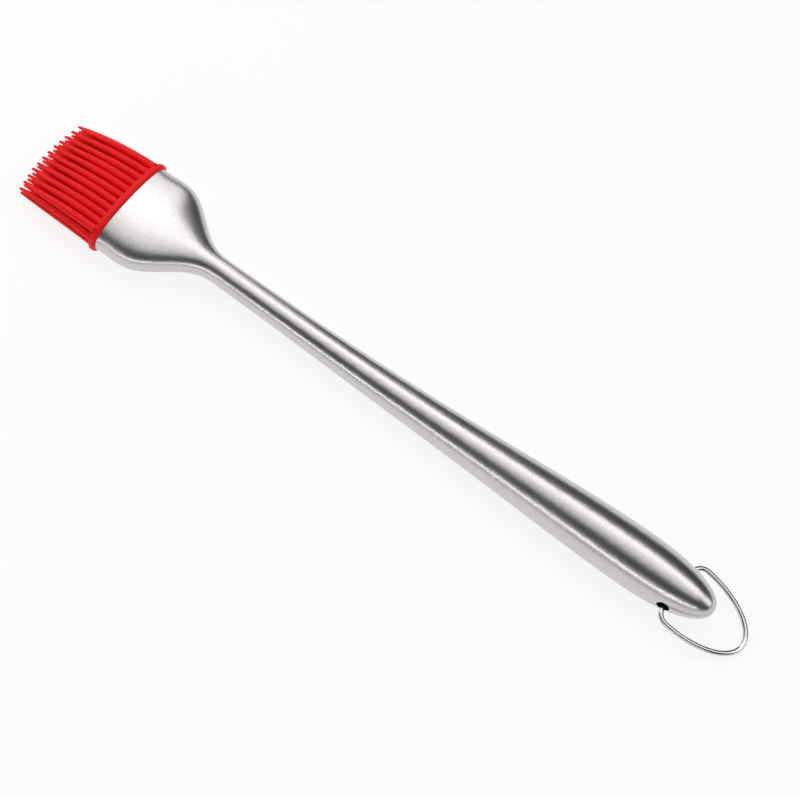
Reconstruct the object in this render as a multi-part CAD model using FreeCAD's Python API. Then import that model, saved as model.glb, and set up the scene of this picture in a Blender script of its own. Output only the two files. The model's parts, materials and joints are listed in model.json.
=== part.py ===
"""Pastry brush: a hollow stainless handle, a silicone brush head and a wire hanging loop.

The brush lies on its back on a flat surface. +X runs from the bristles to the hanging loop,
+Y runs across the brush and +Z is up. Sizes are in millimetres.
The origin is under the middle of the whole brush, on the surface that it lies on.
"""
import FreeCAD, Part
import math
import os

V = FreeCAD.Vector

# ---- handle and socket ------------------------------------------------------------------
HANDLE_LENGTH = 266.0        # from the socket's mouth to the tip of the butt
WALL = 0.8                   # sheet thickness of both shells
MOUTH_HALF_WIDTH = 20.65     # outside of the socket's mouth, across the brush
MOUTH_HALF_HEIGHT = 8.5      # outside of the socket's mouth, up and down
MOUTH_SQUARENESS = 2.38      # 2 is an ellipse, and more is squarer
SOCKET_STRAIGHT = 7.8        # length behind the mouth before the shoulders start
SOCKET_LENGTH = 43.6         # from the mouth to the end of the shoulders
NECK_RADIUS = 5.15           # the thinnest part of the handle
GRIP_RADIUS = 10.95          # the thickest part of the handle
BUTT_LENGTH = 34.5           # from the thickest part to the tip of the butt
BUTT_ROUNDNESS = 2.2         # 2 is a round nose, and more is blunter
HANDLE_SAG = 1.8             # how far the middle of the handle dips below a straight line
HEAD_SLOPE = 0.035           # how steeply the handle rises behind the mouth
BUTT_RISE = 0.9              # how far the butt's tip stands above the middle of the grip
BUTT_FLAT = 0.02             # the butt's rounding stops this short of its tip
MOUTH_OVERRUN = 2.0          # how far the hollow's shape runs on in front of the mouth
SECTION_COUNT = 12           # sections that shape each of the shoulders, the shaft and the butt
OUTLINE_POINTS = 32          # points that shape each section
# How the shaft swells towards the grip: share of its length, share of the swell, steepness.
SHAFT_SHAPE = ((0.0, 0.0, 0.0), (0.36, 0.21, 0.9), (0.74, 0.71, 1.8), (1.0, 1.0, 0.0))

# ---- silicone head ----------------------------------------------------------------------
RIM_THICKNESS = 2.8          # rim in front of the mouth, along the brush
RIM_LIP = 1.1                # how far the rim stands out past the socket
RIM_ROUNDING = 0.9           # rounding of the rim's two edges
PLUG_LENGTH = 16.0           # silicone inside the socket
PLUG_CLEARANCE = 0.12        # between the plug and the socket's inside
CORE_LENGTH = 13.0           # stiff core inside the plug
CORE_WIDTH = 26.0
CORE_HEIGHT = 5.0

# ---- bristles ---------------------------------------------------------------------------
ROW_PITCH = 3.44             # between bristles in one row
OUTER_ROW_COUNT = 11
INNER_ROW_COUNT = 12
ROW_HEIGHTS = (4.95, 1.65, -1.65, -4.95)   # of each row above the middle of the head
ROOT_RADIUS = 1.35
TIP_RADIUS = 0.85
OUTER_ROW_LENGTH = 35.4      # of the middle bristles, from the rim's face to the tip
INNER_ROW_LENGTH = 38.8
TIP_ARC = 2.2                # how much shorter the bristles at the sides are
CUP_CLEARANCE = 0.25         # round each bristle's root, in the rim's face
GATHER = 0.91                # how far across the tips stand, as a share of the roots
FLATTEN = 0.85               # how far up and down the tips stand, as a share of the roots
TIP_DROOP = 4.6              # how far the tips hang below the middle of the head
TIP_LIFT = 0.1               # the lowest tips stay this far above the surface

# ---- hanging loop -----------------------------------------------------------------------
WIRE_RADIUS = 1.0
HOLE_RADIUS = 2.5
HOLE_FROM_BUTT = 15.5
WIRE_SEAT_GAP = 0.2          # between the wire and the lowest edge of its hole
LOOP_HALF_WIDTH = 13.2       # to the middle of the wire
LOOP_REACH = 30.5            # from the hole to the middle of the wire at the far end
LOOP_CORNER = 4.5            # radius where the wire turns in to the hole
WIRE_END_INSIDE = 6.0        # how far the wire's ends stop from the middle of the handle


def hermite(x, left, right):
    """Height of the smooth curve between two stations, each (place, height, slope)."""
    span = right[0] - left[0]
    u = (x - left[0]) / span
    return ((1 + 2 * u) * (1 - u) ** 2 * left[1] + u * (1 - u) ** 2 * span * left[2]
            + u * u * (3 - 2 * u) * right[1] + u * u * (u - 1) * span * right[2])


def smooth_through(stations, x):
    for left, right in zip(stations, stations[1:]):
        if x <= right[0]:
            return hermite(x, left, right)
    return stations[-1][1]


# The places along the handle, measured from the socket's mouth.
GRIP_X = HANDLE_LENGTH - BUTT_LENGTH
SHAFT_LENGTH = GRIP_X - SOCKET_LENGTH
SWELL = GRIP_RADIUS - NECK_RADIUS
SHAFT_STATIONS = [
    (SOCKET_LENGTH + place * SHAFT_LENGTH, NECK_RADIUS + swell * SWELL, slope * SWELL / SHAFT_LENGTH)
    for place, swell, slope in SHAFT_SHAPE
]
# The rim and the grip both touch the surface, and the handle dips between them.
HEAD_HEIGHT = MOUTH_HALF_HEIGHT + RIM_LIP
MIDDLE_HEIGHT = (HEAD_HEIGHT + GRIP_RADIUS) / 2 - HANDLE_SAG
HEIGHT_STATIONS = (
    (0.0, HEAD_HEIGHT, HEAD_SLOPE),
    (GRIP_X / 2, MIDDLE_HEIGHT, (GRIP_RADIUS - HEAD_HEIGHT) / GRIP_X),
    (GRIP_X, GRIP_RADIUS, 0.0),
)


def ease(u):
    """Rises from 0 to 1 and is level at both ends."""
    u = min(max(u, 0.0), 1.0)
    return u ** 3 * (10 - 15 * u + 6 * u * u)


def section(x, inset=0.0):
    """Half width, half height and squareness of the handle's outline at x, inset by a wall."""
    nose_length = BUTT_LENGTH - inset
    if x > GRIP_X:
        reach = min((x - GRIP_X) / nose_length, 1.0)
        radius = (GRIP_RADIUS - inset) * (1 - reach ** BUTT_ROUNDNESS) ** (1 / BUTT_ROUNDNESS)
        return radius, radius, 2.0
    if x > SOCKET_LENGTH:
        radius = smooth_through(SHAFT_STATIONS, x) - inset
        return radius, radius, 2.0
    shoulder = ease((x - SOCKET_STRAIGHT) / (SOCKET_LENGTH - SOCKET_STRAIGHT))
    half_width = MOUTH_HALF_WIDTH + (NECK_RADIUS - MOUTH_HALF_WIDTH) * shoulder
    half_height = MOUTH_HALF_HEIGHT + (NECK_RADIUS - MOUTH_HALF_HEIGHT) * shoulder
    squareness = MOUTH_SQUARENESS + (2.0 - MOUTH_SQUARENESS) * shoulder
    return half_width - inset, half_height - inset, squareness


def centre_height(x):
    """Height of the middle of the handle, which is also where its two shells meet."""
    rise = BUTT_RISE * (max(x - GRIP_X, 0.0) / BUTT_LENGTH) ** 2
    return smooth_through(HEIGHT_STATIONS, max(x, 0.0)) + rise


HOLE_X = HANDLE_LENGTH - HOLE_FROM_BUTT
HOLE_HEIGHT = centre_height(HOLE_X)
# The wire lies on the lowest edge of its hole, and the far end of the loop on the surface.
LOOP_PIVOT_HEIGHT = HOLE_HEIGHT - (HOLE_RADIUS - WIRE_RADIUS - WIRE_SEAT_GAP)
LOOP_TILT = math.asin((LOOP_PIVOT_HEIGHT - WIRE_RADIUS) / LOOP_REACH)


def outline_curve(x, half_width, half_height, squareness, height, start, turn=1):
    """A closed rounded-box curve across the brush, from the start angle round to it again.

    Every curve has the same number of points at the same parameters, so lofts through them
    stay smooth. It runs anticlockwise (turn 1) or clockwise (turn -1), seen from the butt.
    """
    points = []
    for i in range(OUTLINE_POINTS):
        angle = start + turn * 2 * math.pi * i / OUTLINE_POINTS
        c = math.cos(angle)
        s = math.sin(angle)
        reach = (abs(c) ** squareness + abs(s) ** squareness) ** (-1 / squareness)
        points.append(V(x, half_width * reach * c, height + half_height * reach * s))
    curve = Part.BSplineCurve()
    curve.interpolate(Points=points, PeriodicFlag=True, Parameters=list(range(OUTLINE_POINTS + 1)))
    return curve


def closed_outline(x, half_width, half_height, squareness, height, seam=-1):
    """One closed curve across the brush. Its seam is at the top (1) or at the bottom (-1)."""
    curve = outline_curve(x, half_width, half_height, squareness, height, seam * math.pi / 2)
    return Part.Wire([curve.toShape()])


def half_outline(x, side):
    """The upper (side 1) or lower (side -1) half of the handle's outline, closed by a line.

    Both are halves of one smooth curve, so the two shells meet smoothly.
    """
    curve = outline_curve(x, *section(x), centre_height(x), 0, side)
    curve.segment(0, OUTLINE_POINTS / 2)
    return Part.Wire([curve.toShape(), Part.makeLine(curve.EndPoint, curve.StartPoint)])


def spread(start, end, count):
    return [start + (end - start) * i / count for i in range(count)]


def handle_places(nose_length):
    """Places along the handle where its section is set, closer together where it bends."""
    places = [0.0]
    places += spread(SOCKET_STRAIGHT, SOCKET_LENGTH, SECTION_COUNT)
    places += spread(SOCKET_LENGTH, GRIP_X, SECTION_COUNT)
    for i in range(SECTION_COUNT):
        places.append(GRIP_X + nose_length * math.sin(math.pi / 2 * i / SECTION_COUNT))
    return places


def handle_inside(seam):
    """The hollow of both shells, which opens at the mouth."""
    rings = []
    for x in [-MOUTH_OVERRUN] + handle_places(BUTT_LENGTH - WALL):
        outline = section(x, WALL)
        rings.append(closed_outline(x, *outline, centre_height(x), seam))
    return Part.makeLoft(rings, True, False)


def handle_shell(side):
    """The upper (side 1) or lower (side -1) shell. Its inside has its seam on the other side."""
    places = handle_places(BUTT_LENGTH) + [HANDLE_LENGTH - BUTT_FLAT]
    outside = Part.makeLoft([half_outline(x, side) for x in places], True, False)
    return outside.cut(handle_inside(-side)).cut(loop_hole())


def loop_hole():
    """One straight hole through both sides of the butt, half in each shell."""
    length = 4 * GRIP_RADIUS
    start = V(HOLE_X, -length / 2, HOLE_HEIGHT)
    return Part.makeCylinder(HOLE_RADIUS, length, start, V(0, 1, 0))


def prism(x, length, half_width, half_height):
    """A block with the mouth's outline, from x along the brush."""
    wire = closed_outline(x, half_width, half_height, MOUTH_SQUARENESS, HEAD_HEIGHT)
    return Part.Face(wire).extrude(V(length, 0, 0))


def head_core():
    corner = V(PLUG_LENGTH - CORE_LENGTH, -CORE_WIDTH / 2, HEAD_HEIGHT - CORE_HEIGHT / 2)
    return Part.makeBox(CORE_LENGTH, CORE_WIDTH, CORE_HEIGHT, corner)


def head_plug():
    rings = []
    for x in [0.0] + spread(SOCKET_STRAIGHT, PLUG_LENGTH, 4) + [PLUG_LENGTH]:
        outline = section(x, WALL + PLUG_CLEARANCE)
        rings.append(closed_outline(x, *outline, centre_height(x)))
    return Part.makeLoft(rings, True, False)


def head_base(core):
    rim = prism(-RIM_THICKNESS, RIM_THICKNESS, MOUTH_HALF_WIDTH + RIM_LIP, HEAD_HEIGHT)
    rim = rim.makeFillet(RIM_ROUNDING, rim.Edges)
    base = rim.fuse(head_plug()).cut(core)
    cups = []
    for row in range(len(ROW_HEIGHTS)):
        for root in row_roots(row):
            cups.append(Part.makeSphere(ROOT_RADIUS + CUP_CLEARANCE, root))
    return base.cut(cups)


def row_roots(row):
    """The middle of each bristle's root, on the rim's face."""
    outer = row in (0, len(ROW_HEIGHTS) - 1)
    count = OUTER_ROW_COUNT if outer else INNER_ROW_COUNT
    roots = []
    for i in range(count):
        y = (i - (count - 1) / 2) * ROW_PITCH
        roots.append(V(-RIM_THICKNESS, y, HEAD_HEIGHT + ROW_HEIGHTS[row]))
    return roots


def bristle(root, length, height):
    """A tapered round finger with a ball at each end. The root's ball turns in its cup."""
    tip_height = max(HEAD_HEIGHT + height * FLATTEN - TIP_DROOP, TIP_RADIUS + TIP_LIFT)
    along = V(TIP_RADIUS - length, root.y * (GATHER - 1), tip_height - root.z)
    reach = along.Length
    lean = math.asin((ROOT_RADIUS - TIP_RADIUS) / reach)

    def on_ball(centre, radius, angle):
        return V(radius * math.cos(angle), 0, centre + radius * math.sin(angle))

    root_end = on_ball(0, ROOT_RADIUS, -math.pi / 2)
    root_side = on_ball(0, ROOT_RADIUS, lean)
    tip_side = on_ball(reach, TIP_RADIUS, lean)
    tip_end = on_ball(reach, TIP_RADIUS, math.pi / 2)
    edges = [
        Part.Arc(root_end, on_ball(0, ROOT_RADIUS, -math.pi / 4), root_side).toShape(),
        Part.makeLine(root_side, tip_side),
        Part.Arc(tip_side, on_ball(reach, TIP_RADIUS, (lean + math.pi / 2) / 2), tip_end).toShape(),
        Part.makeLine(tip_end, root_end),
    ]
    finger = Part.Face(Part.Wire(edges)).revolve(V(0, 0, 0), V(0, 0, 1), 360)
    finger.Placement = FreeCAD.Placement(root, FreeCAD.Rotation(V(0, 0, 1), along))
    return finger


def bristle_row(row):
    """One row of bristles, a little shorter towards its two sides."""
    outer = row in (0, len(ROW_HEIGHTS) - 1)
    middle_length = OUTER_ROW_LENGTH if outer else INNER_ROW_LENGTH
    row_half_width = ROW_PITCH * (INNER_ROW_COUNT - 1) / 2
    bristles = []
    for root in row_roots(row):
        length = middle_length - TIP_ARC * (root.y / row_half_width) ** 2
        bristles.append(bristle(root, length, ROW_HEIGHTS[row]))
    return Part.Compound(bristles)


def hang_loop():
    """An oval wire loop. Its two ends turn in and sit in the hole through the butt."""
    straight = LOOP_HALF_WIDTH - LOOP_CORNER
    oval_length = LOOP_REACH - LOOP_CORNER
    diagonal = LOOP_CORNER * math.sqrt(0.5)

    def corner(side):
        start = V(0, side * straight, 0)
        middle = V(LOOP_CORNER - diagonal, side * (straight + diagonal), 0)
        end = V(LOOP_CORNER, side * LOOP_HALF_WIDTH, 0)
        return Part.Arc(start, middle, end).toShape()

    oval = Part.Ellipse(V(LOOP_CORNER + oval_length, 0, 0), V(LOOP_CORNER, LOOP_HALF_WIDTH, 0),
                        V(LOOP_CORNER, 0, 0))
    far_end = Part.ArcOfEllipse(oval, -math.pi / 2, math.pi / 2).toShape()
    near_end = Part.makeLine(V(0, -WIRE_END_INSIDE, 0), V(0, -straight, 0))
    other_end = Part.makeLine(V(0, straight, 0), V(0, WIRE_END_INSIDE, 0))
    path = Part.Wire(Part.__sortEdges__([near_end, corner(-1), far_end, corner(1), other_end]))
    start = V(0, -WIRE_END_INSIDE, 0)
    ring = Part.Wire([Part.makeCircle(WIRE_RADIUS, start, V(0, 1, 0))])
    wire = path.makePipeShell([ring], True, True)
    wire.rotate(V(0, 0, 0), V(0, 1, 0), math.degrees(LOOP_TILT))
    wire.translate(V(HOLE_X, 0, LOOP_PIVOT_HEIGHT))
    return wire


def build():
    core = head_core()
    nodes = {
        "handle_upper_shell": handle_shell(1),
        "handle_lower_shell": handle_shell(-1),
        "head_base": head_base(core),
        "head_core": core,
        "hang_loop": hang_loop(),
    }
    for row in range(len(ROW_HEIGHTS)):
        nodes["bristle_row_%d" % (row + 1)] = bristle_row(row)
    return nodes


def main():
    nodes = build()
    whole = Part.Compound(list(nodes.values())).optimalBoundingBox(False, False)
    shift = V(-(whole.XMin + whole.XMax) / 2, 0, 0)
    os.makedirs("parts", exist_ok=True)
    for name, shape in nodes.items():
        shape.translate(shift)
        shape.exportStep("parts/%s.step" % name)
        print("%-20s valid %s solids %d volume %.1f" % (
            name, shape.isValid(), len(shape.Solids), shape.Volume))
    print("mouth x %.4f, rim face x %.4f, butt x %.4f" % (
        shift.x, shift.x - RIM_THICKNESS, shift.x + HANDLE_LENGTH))
    print("loop pivot x %.4f z %.4f, loop tilt %.3f degrees" % (
        shift.x + HOLE_X, LOOP_PIVOT_HEIGHT, math.degrees(LOOP_TILT)))
    print("row heights " + ", ".join("%.3f" % (HEAD_HEIGHT + h) for h in ROW_HEIGHTS))
    print("loop reach %.2f half width %.2f corner %.2f" % (
        LOOP_REACH, LOOP_HALF_WIDTH, LOOP_CORNER))
    print("whole brush %.2f x %.2f x %.2f" % (whole.XLength, whole.YLength, whole.ZLength))


main()
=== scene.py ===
"""A pastry brush of satin stainless steel and red silicone, lying on a white light table.

The handle's two shells, the core and the hanging loop are the frame's own nodes, in better
finishes. The silicone head is made here, as one rim and four rows of tapered fingers that grow
out of it and droop towards their tips. Lengths are in metres: MM turns millimetres into them.
"""
import json
import math
import random

import bpy
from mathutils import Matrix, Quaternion, Vector


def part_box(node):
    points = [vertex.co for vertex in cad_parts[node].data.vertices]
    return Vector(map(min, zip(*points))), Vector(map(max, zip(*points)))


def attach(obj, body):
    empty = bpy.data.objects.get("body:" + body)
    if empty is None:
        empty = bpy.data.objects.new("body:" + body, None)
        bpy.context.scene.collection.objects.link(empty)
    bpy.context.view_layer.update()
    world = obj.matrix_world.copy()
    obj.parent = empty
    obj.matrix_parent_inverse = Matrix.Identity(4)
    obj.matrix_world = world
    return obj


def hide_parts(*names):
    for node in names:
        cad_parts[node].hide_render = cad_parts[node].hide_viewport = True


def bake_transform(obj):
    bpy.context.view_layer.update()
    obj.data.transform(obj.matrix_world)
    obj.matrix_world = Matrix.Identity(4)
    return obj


MM = 0.001

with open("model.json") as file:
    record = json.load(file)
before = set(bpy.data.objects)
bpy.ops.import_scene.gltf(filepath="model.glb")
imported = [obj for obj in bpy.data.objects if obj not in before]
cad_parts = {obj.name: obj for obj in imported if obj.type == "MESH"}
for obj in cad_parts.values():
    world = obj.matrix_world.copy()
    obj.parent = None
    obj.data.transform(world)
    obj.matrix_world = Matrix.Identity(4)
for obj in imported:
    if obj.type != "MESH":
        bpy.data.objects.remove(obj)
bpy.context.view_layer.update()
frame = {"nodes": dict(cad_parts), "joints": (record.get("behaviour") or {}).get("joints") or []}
random.seed(7)

# ---- places that come from the frame ----------------------------------------------------
rim_low, rim_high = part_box("head_base")
mouth_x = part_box("handle_upper_shell")[0].x
rim_half_width = (rim_high.y - rim_low.y) / 2
rim_half_height = (rim_high.z - rim_low.z) / 2
rim_middle = (rim_high.z + rim_low.z) / 2
root_place = {joint["child"]: Vector(joint["pos_m"]) for joint in frame["joints"]}

# ---- sizes of the rim and plug ----------------------------------------------------------
OUTLINE_SQUARENESS = 2.38        # 2 is an ellipse, and more is squarer, as on the socket
OUTLINE_POINTS = 160
RIM_ROUNDING = 0.95 * MM
ROUNDING_STEPS = 8               # along the quarter circle at each of the rim's two edges
FACE_INSETS = (4.0 * MM, 2.0 * MM)   # of the rings on the rim's flat face, from its outline
PLUG_INSET = 2.05 * MM           # from the rim's outline to the plug's
PLUG_SHARE = 1.5                 # length of the plug as a share of the rim's thickness

# ---- sizes of the fingers ---------------------------------------------------------------
FINGER_PITCH = 3.44 * MM
FINGER_COUNTS = {"bristles_1": 11, "bristles_2": 12, "bristles_3": 12, "bristles_4": 11}
OUTER_LENGTH = 35.4 * MM         # of the middle fingers in the top and bottom rows
INNER_LENGTH = 38.8 * MM         # of the middle fingers in the two rows between them
TIP_ARC = 2.2 * MM               # how much shorter the fingers at the sides are
ROOT_RADIUS = 1.64 * MM
TIP_RADIUS = 0.5 * MM
TAPER = 3.2                      # 1 is a straight cone, and more keeps the root thick for longer
ROOT_SUNK = 0.6 * MM             # how far behind the rim's face a finger starts
ROOT_FLARE = 0.2 * MM            # how much wider a finger is where it meets the rim
FLARE_LENGTH = 1.2 * MM
OVALNESS = 0.92                  # height of a finger's section as a share of its width
GATHER = 0.91                    # how far across the tips stand, as a share of the roots
FLATTEN = 0.85                   # how far up and down the tips stand, as a share of the roots
DROOP = 4.7 * MM                 # how far the tips hang below a straight finger
TABLE_GAP = 0.1 * MM             # the lowest tips stay this far above the table
TIP_WANDER = 0.2 * MM            # how far a tip strays from its place
FINGER_STEPS = 24
FINGER_SIDES = 24
TIP_STEP = 15                    # degrees between the rings that round off a tip

# ---- sizes and strengths of the studio --------------------------------------------------
TABLE_SIZE = 12.0
GLOW = 0.85                      # light that comes up through the table round the brush
GLOW_FAR = 0.82                  # the same light out towards the horizon
GLOW_FADE = (0.2, 1.2)           # from the middle, where the fade from one to the other is
FLAG_SIZE = (3.0, 0.2)           # of the dark strip, along the brush and across
FLAG_PLACE = (0, -0.25, 0.5 * MM)    # near side of the brush, just clear of the table
VIEW_AIM = Vector((mouth_x + 126.8 * MM, -1.1 * MM, 10 * MM))
VIEW_AZIMUTH = math.radians(32.90)
VIEW_ELEVATION = math.radians(61.49)
VIEW_ROLL = math.radians(5.22)
VIEW_DISTANCE = 1556.9 * MM
LENS = 193.1                     # focal length, in millimetres as it is set on a camera
SENSOR_WIDTH = 36                # in millimetres too
FARTHEST_SEEN = 50


# ---- silicone head ----------------------------------------------------------------------
def superellipse(angle, half_width, half_height):
    """Across and up on a rounded box of the rim's squareness."""
    c = math.cos(angle)
    s = math.sin(angle)
    across = half_width * math.copysign(abs(c) ** (2 / OUTLINE_SQUARENESS), c)
    up = half_height * math.copysign(abs(s) ** (2 / OUTLINE_SQUARENESS), s)
    return across, up


def skin(name, rings):
    """A smooth closed mesh through rings that all have the same number of points."""
    count = len(rings[0])
    last = (len(rings) - 1) * count
    faces = []
    for start in range(0, last, count):
        for i in range(count):
            j = (i + 1) % count
            faces.append((start + i, start + j, start + count + j, start + count + i))
    faces.append(tuple(reversed(range(count))))
    faces.append(tuple(range(last, last + count)))
    mesh = bpy.data.meshes.new(name)
    mesh.from_pydata([point for ring in rings for point in ring], [], faces)
    mesh.polygons.foreach_set("use_smooth", [True] * len(mesh.polygons))
    piece = bpy.data.objects.new(name, mesh)
    bpy.context.scene.collection.objects.link(piece)
    return piece


def rim_profile():
    """Place along the brush and inset from the rim's outline, from the face to the plug's end."""
    face_x = rim_low.x
    turns = [math.radians(90 * i / ROUNDING_STEPS) for i in range(ROUNDING_STEPS + 1)]
    edge = [(RIM_ROUNDING * (1 - math.sin(turn)), RIM_ROUNDING * (1 - math.cos(turn)))
            for turn in turns]
    face = [(face_x, inset) for inset in FACE_INSETS]
    front = [(face_x + back, inset) for back, inset in reversed(edge)]
    rear = [(mouth_x - back, inset) for back, inset in edge]
    plug_end = mouth_x + PLUG_SHARE * (mouth_x - face_x)
    return face + front + rear + [(mouth_x, PLUG_INSET), (plug_end, PLUG_INSET)]


def silicone_rim():
    """The rim that closes the socket, with a bulged edge, and the plug behind it."""
    rings = []
    for x, inset in rim_profile():
        ring = []
        for i in range(OUTLINE_POINTS):
            angle = 2 * math.pi * i / OUTLINE_POINTS
            across, up = superellipse(angle, rim_half_width - inset, rim_half_height - inset)
            ring.append((x, across, rim_middle + up))
        rings.append(ring)
    piece = skin("silicone_rim", rings)
    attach(piece, "handle")
    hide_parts("head_base")
    return piece


def finger_tip(root, length):
    """Where a finger ends: gathered in, drooping, a little astray, and clear of the table."""
    x = root.x - length + random.uniform(0, 2 * TIP_WANDER)
    y = root.y * GATHER + random.uniform(-TIP_WANDER, TIP_WANDER)
    z = rim_middle + (root.z - rim_middle) * FLATTEN - DROOP
    z += random.uniform(-TIP_WANDER, TIP_WANDER)
    return Vector((x, y, max(z, OVALNESS * TIP_RADIUS + TABLE_GAP)))


def finger_stations(length, reach):
    """Shares of a finger's reach, from inside the rim, and how full its section is at each."""
    stations = [(-ROOT_SUNK / length, 1.0)]
    stations += [(k / FINGER_STEPS, 1.0) for k in range(FINGER_STEPS + 1)]
    for degrees in range(TIP_STEP, 90, TIP_STEP):
        turn = math.radians(degrees)
        stations.append((1 + math.sin(turn) * TIP_RADIUS / reach, math.cos(turn)))
    return stations


def finger_rings(root, length):
    """Rings of one tapered, drooping finger, from inside the rim to its rounded tip."""
    tip = finger_tip(root, length)
    side = random.uniform(-TIP_WANDER, TIP_WANDER)
    reach = root.x - tip.x - TIP_RADIUS
    rings = []
    for u, fullness in finger_stations(length, reach):
        held = min(max(u, 0.0), 1.0)
        radius = ROOT_RADIUS + (TIP_RADIUS - ROOT_RADIUS) * held ** TAPER
        radius += ROOT_FLARE * max(1 - held * length / FLARE_LENGTH, 0.0) ** 2
        y = root.y + (tip.y - root.y) * u + side * math.sin(math.pi * held)
        z = root.z + (tip.z - root.z) * u * abs(u)
        ring = []
        for i in range(FINGER_SIDES):
            angle = 2 * math.pi * i / FINGER_SIDES
            across = fullness * radius * math.cos(angle)
            up = fullness * OVALNESS * radius * math.sin(angle)
            ring.append((root.x - reach * u, y + across, z + up))
        rings.append(ring)
    return rings


def finger_row(body):
    """One row of fingers, rooted where the frame puts the row's joint, in place of the frame's
    own row.
    """
    root = root_place[body]
    count = FINGER_COUNTS[body]
    middle_length = OUTER_LENGTH if count == min(FINGER_COUNTS.values()) else INNER_LENGTH
    row_half_width = FINGER_PITCH * (max(FINGER_COUNTS.values()) - 1) / 2
    fingers = []
    for i in range(count):
        y = (i - (count - 1) / 2) * FINGER_PITCH
        length = middle_length - TIP_ARC * (y / row_half_width) ** 2
        fingers.append(skin("finger", finger_rings(Vector((root.x, y, root.z)), length)))
    with bpy.context.temp_override(active_object=fingers[0], selected_editable_objects=fingers):
        bpy.ops.object.join()
    row = fingers[0]
    row.name = "silicone_" + body
    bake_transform(row)
    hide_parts("bristle_row_" + body[-1])
    return row


# ---- finishes ---------------------------------------------------------------------------
def linear(hex_colour):
    """The linear colour of an sRGB hex value."""
    parts = [int(hex_colour[i:i + 2], 16) / 255 for i in (1, 3, 5)]
    return [p / 12.92 if p <= 0.04045 else ((p + 0.055) / 1.055) ** 2.4 for p in parts] + [1.0]


def add(tree, kind, sockets=None, **settings):
    """Adds a node. A socket's value is a number, a colour or the output that feeds it."""
    node = tree.nodes.new("ShaderNode" + kind)
    for name, value in settings.items():
        setattr(node, name, value)
    for name, value in (sockets or {}).items():
        if isinstance(value, bpy.types.NodeSocket):
            tree.links.new(value, node.inputs[name])
        else:
            node.inputs[name].default_value = value
    return node


def new_finish(name):
    """A material with no nodes in it yet."""
    material = bpy.data.materials.new(name)
    material.use_nodes = True
    material.node_tree.nodes.clear()
    return material


def satin_stainless_steel():
    """Stainless 18/8 sheet, blasted with fine glass beads: soft mirrors with a faint grain."""
    material = new_finish("satin_stainless_steel")
    tree = material.node_tree
    place = add(tree, "TexCoord").outputs["Object"]
    # The grain is about 0.1 mm across. It is drawn at 0.8 mm so that it shows.
    grain = add(tree, "TexNoise", {"Vector": place, "Scale": 1 / (0.8 * MM), "Detail": 3.0})
    cloud = add(tree, "TexNoise", {"Vector": place, "Scale": 1 / (25 * MM), "Detail": 2.0})
    tone = add(tree, "Mix", {
        "Factor": grain.outputs["Fac"], "A": linear("#B9B5B6"), "B": linear("#DDDAD9")},
        data_type="RGBA")
    rough = add(tree, "MapRange", {
        "Value": cloud.outputs["Fac"], "From Min": 0.3, "From Max": 0.7,
        "To Min": 0.28, "To Max": 0.32})
    bump = add(tree, "Bump", {
        "Height": grain.outputs["Fac"], "Strength": 0.2, "Distance": 0.004 * MM})
    shader = add(tree, "BsdfPrincipled", {
        "Base Color": tone.outputs["Result"], "Metallic": 1.0,
        "Roughness": rough.outputs["Result"], "Normal": bump.outputs["Normal"]})
    add(tree, "OutputMaterial", {"Surface": shader.outputs["BSDF"]})
    return material


def drawn_steel_wire():
    """Stainless wire, bright from the die: sharp highlights that break up slightly."""
    material = new_finish("drawn_steel_wire")
    tree = material.node_tree
    place = add(tree, "TexCoord").outputs["Object"]
    grain = add(tree, "TexNoise", {"Vector": place, "Scale": 1 / (0.6 * MM), "Detail": 2.0})
    rough = add(tree, "MapRange", {
        "Value": grain.outputs["Fac"], "To Min": 0.1, "To Max": 0.2})
    shader = add(tree, "BsdfPrincipled", {
        "Base Color": linear("#C9C8C6"), "Metallic": 1.0, "Roughness": rough.outputs["Result"]})
    add(tree, "OutputMaterial", {"Surface": shader.outputs["BSDF"]})
    return material


def moulded_red_silicone():
    """Food-grade silicone rubber, moulded satin: soft highlights and a faint inner glow."""
    material = new_finish("moulded_red_silicone")
    tree = material.node_tree
    place = add(tree, "TexCoord").outputs["Object"]
    cloud = add(tree, "TexNoise", {"Vector": place, "Scale": 1 / (6 * MM), "Detail": 2.0})
    # The mould's satin is about 0.05 mm across. It is drawn at 0.25 mm, to show close up.
    satin = add(tree, "TexNoise", {"Vector": place, "Scale": 1 / (0.25 * MM), "Detail": 2.0})
    tone = add(tree, "Mix", {
        "Factor": cloud.outputs["Fac"], "A": linear("#E4030B"), "B": linear("#EE060E")},
        data_type="RGBA")
    rough = add(tree, "MapRange", {
        "Value": satin.outputs["Fac"], "To Min": 0.42, "To Max": 0.54})
    bump = add(tree, "Bump", {
        "Height": satin.outputs["Fac"], "Strength": 0.1, "Distance": 0.02 * MM})
    shader = add(tree, "BsdfPrincipled", {
        "Base Color": tone.outputs["Result"], "Roughness": rough.outputs["Result"],
        "IOR": 1.41, "Specular IOR Level": 0.3, "Subsurface Weight": 0.4,
        "Subsurface Radius": (1.0, 0.1, 0.08), "Subsurface Scale": 2.0 * MM,
        "Normal": bump.outputs["Normal"]})
    add(tree, "OutputMaterial", {"Surface": shader.outputs["BSDF"]})
    return material


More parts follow.
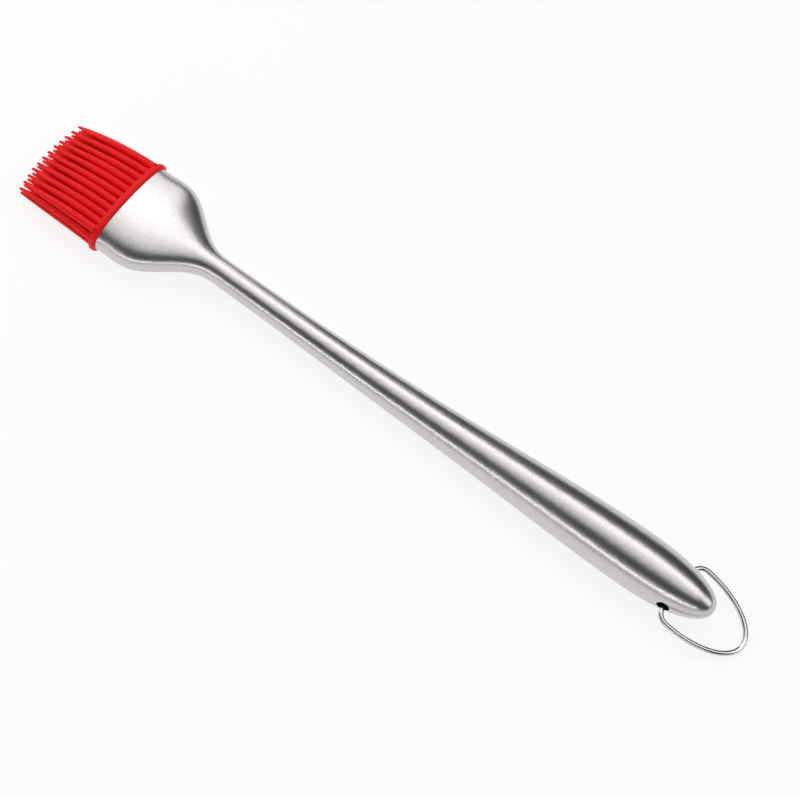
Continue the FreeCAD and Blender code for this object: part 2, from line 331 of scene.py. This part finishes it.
def moulded_core_plastic():
    """Natural nylon, moulded matt, hidden in the middle of the plug."""
    material = new_finish("moulded_core_plastic")
    tree = material.node_tree
    place = add(tree, "TexCoord").outputs["Object"]
    grain = add(tree, "TexNoise", {"Vector": place, "Scale": 1 / (0.5 * MM), "Detail": 2.0})
    rough = add(tree, "MapRange", {
        "Value": grain.outputs["Fac"], "To Min": 0.5, "To Max": 0.65})
    shader = add(tree, "BsdfPrincipled", {
        "Base Color": linear("#D8D2C4"), "Roughness": rough.outputs["Result"], "IOR": 1.53})
    add(tree, "OutputMaterial", {"Surface": shader.outputs["BSDF"]})
    return material


def dress(piece, material):
    """Gives a piece one material, in place of any that it had."""
    piece.data.materials.clear()
    piece.data.materials.append(material)


# ---- studio -----------------------------------------------------------------------------
def panel(name, width, height):
    """A flat rectangle about the origin that isn't part of the brush."""
    x = width / 2
    y = height / 2
    mesh = bpy.data.meshes.new(name)
    mesh.from_pydata([(-x, -y, 0), (x, -y, 0), (x, y, 0), (-x, y, 0)], [], [(0, 1, 2, 3)])
    made = bpy.data.objects.new(name, mesh)
    bpy.context.scene.collection.objects.link(made)
    return made


def light_table():
    """A table of white acrylic, lit from below round the brush, that runs out to the horizon."""
    table = panel("table", TABLE_SIZE, TABLE_SIZE)
    acrylic = new_finish("white_acrylic_table")
    tree = acrylic.node_tree
    place = add(tree, "TexCoord").outputs["Object"]
    away = add(tree, "VectorMath", {0: place}, operation="LENGTH")
    glow = add(tree, "MapRange", {
        "Value": away.outputs["Value"], "From Min": GLOW_FADE[0], "From Max": GLOW_FADE[1],
        "To Min": GLOW, "To Max": GLOW_FAR}, interpolation_type="SMOOTHSTEP")
    matt = add(tree, "BsdfDiffuse", {"Color": linear("#6C6C6C")})
    lamp = add(tree, "Emission", {"Strength": glow.outputs["Result"]})
    both = add(tree, "AddShader", {0: matt.outputs["BSDF"], 1: lamp.outputs["Emission"]})
    add(tree, "OutputMaterial", {"Surface": both.outputs["Shader"]})
    dress(table, acrylic)


def black_flag():
    """A dark cloth strip beside the brush that only the steel's reflections show."""
    flag = panel("black_flag", *FLAG_SIZE)
    flag.location = FLAG_PLACE
    flag.visible_camera = False
    flag.visible_diffuse = False
    flag.visible_shadow = False
    cloth = new_finish("black_flag_cloth")
    tree = cloth.node_tree
    matt = add(tree, "BsdfDiffuse", {"Color": linear("#303030")})
    add(tree, "OutputMaterial", {"Surface": matt.outputs["BSDF"]})
    dress(flag, cloth)


def softbox(name, centre, aim, size, top, bottom):
    """A light panel that faces aim. Its strength fades from its top edge to its bottom edge."""
    width, height = size
    box = panel(name, width, height)
    box.location = centre
    box.rotation_euler = (Vector(aim) - Vector(centre)).to_track_quat("-Z", "Y").to_euler()
    box.visible_camera = False
    cloth = new_finish(name)
    tree = cloth.node_tree
    place = add(tree, "TexCoord").outputs["Object"]
    parts = add(tree, "SeparateXYZ", {"Vector": place})
    fade = add(tree, "MapRange", {
        "Value": parts.outputs["Y"], "From Min": -height / 2, "From Max": height / 2,
        "To Min": bottom, "To Max": top}, interpolation_type="SMOOTHSTEP")
    lamp = add(tree, "Emission", {"Strength": fade.outputs["Result"]})
    add(tree, "OutputMaterial", {"Surface": lamp.outputs["Emission"]})
    dress(box, cloth)


def softboxes():
    """Six panels, each for one highlight on the brush."""
    # The broad light on everything that faces up, dimmer towards the near side.
    softbox("overhead_softbox", centre=(-0.1, 0.12, 1.2), aim=(-0.1, 0.12, 0),
            size=(2.2, 1.36), top=2.1, bottom=0.62)
    # The thin bright line along the handle's near side.
    softbox("near_strip", centre=(0.0, -1.5, 0.375), aim=(0, 0, 0.01),
            size=(3.0, 0.2), top=3.8, bottom=3.8)
    # The fingers' tips and the flat of the head.
    softbox("front_softbox", centre=(-1.3, 0.1, 0.75), aim=(-0.13, 0, 0.01),
            size=(1.2, 1.2), top=1.7, bottom=1.7)
    # The rounded end of the butt.
    softbox("butt_softbox", centre=(1.35, 0.5, 0.75), aim=(0.14, 0, 0.01),
            size=(0.9, 1.1), top=1.5, bottom=1.5)
    # The head's far shoulder and its near shoulder.
    softbox("far_head_card", centre=(-0.345, 0.25, 0.225), aim=(-0.345, 0, 0.2),
            size=(0.4, 0.27), top=1.7, bottom=1.4)
    softbox("near_head_card", centre=(-0.365, -0.3, 0.12), aim=(-0.365, 0, 0.1),
            size=(0.4, 0.15), top=0.1, bottom=2.0)


def studio_walls():
    """Dim walls for the steel to mirror, and a pale backdrop behind the table."""
    world = bpy.data.worlds.new("studio")
    world.use_nodes = True
    tree = world.node_tree
    tree.nodes.clear()
    seen = add(tree, "LightPath").outputs["Is Camera Ray"]
    shade = add(tree, "Mix", {"Factor": seen, "A": linear("#323234"), "B": linear("#F9F9F9")},
                data_type="RGBA")
    background = add(tree, "Background", {"Color": shade.outputs["Result"]})
    add(tree, "OutputWorld", {"Surface": background.outputs["Background"]})
    bpy.context.scene.world = world


def camera():
    """Looks down on the brush from its near side, with a long lens."""
    back = Vector((math.sin(VIEW_AZIMUTH) * math.cos(VIEW_ELEVATION),
                   -math.cos(VIEW_AZIMUTH) * math.cos(VIEW_ELEVATION),
                   math.sin(VIEW_ELEVATION)))
    lens = bpy.data.cameras.new("camera")
    lens.sensor_width = SENSOR_WIDTH
    lens.lens = LENS
    lens.clip_end = FARTHEST_SEEN
    viewer = bpy.data.objects.new("camera", lens)
    viewer.location = VIEW_AIM + back * VIEW_DISTANCE
    viewer.rotation_mode = "QUATERNION"
    upright = (-back).to_track_quat("-Z", "Y")
    viewer.rotation_quaternion = upright @ Quaternion((0, 0, 1), VIEW_ROLL)
    bpy.context.scene.collection.objects.link(viewer)
    bpy.context.scene.camera = viewer


# ---- the brush and its studio -----------------------------------------------------------
steel = satin_stainless_steel()
wire = drawn_steel_wire()
silicone = moulded_red_silicone()
core_plastic = moulded_core_plastic()

dress(frame["nodes"]["handle_upper_shell"], steel)
dress(frame["nodes"]["handle_lower_shell"], steel)
dress(frame["nodes"]["hang_loop"], wire)
dress(frame["nodes"]["head_core"], core_plastic)
dress(silicone_rim(), silicone)
for body_name in FINGER_COUNTS:
    dress(finger_row(body_name), silicone)

light_table()
black_flag()
softboxes()
studio_walls()
camera()
bpy.context.scene.view_settings.view_transform = "Standard"
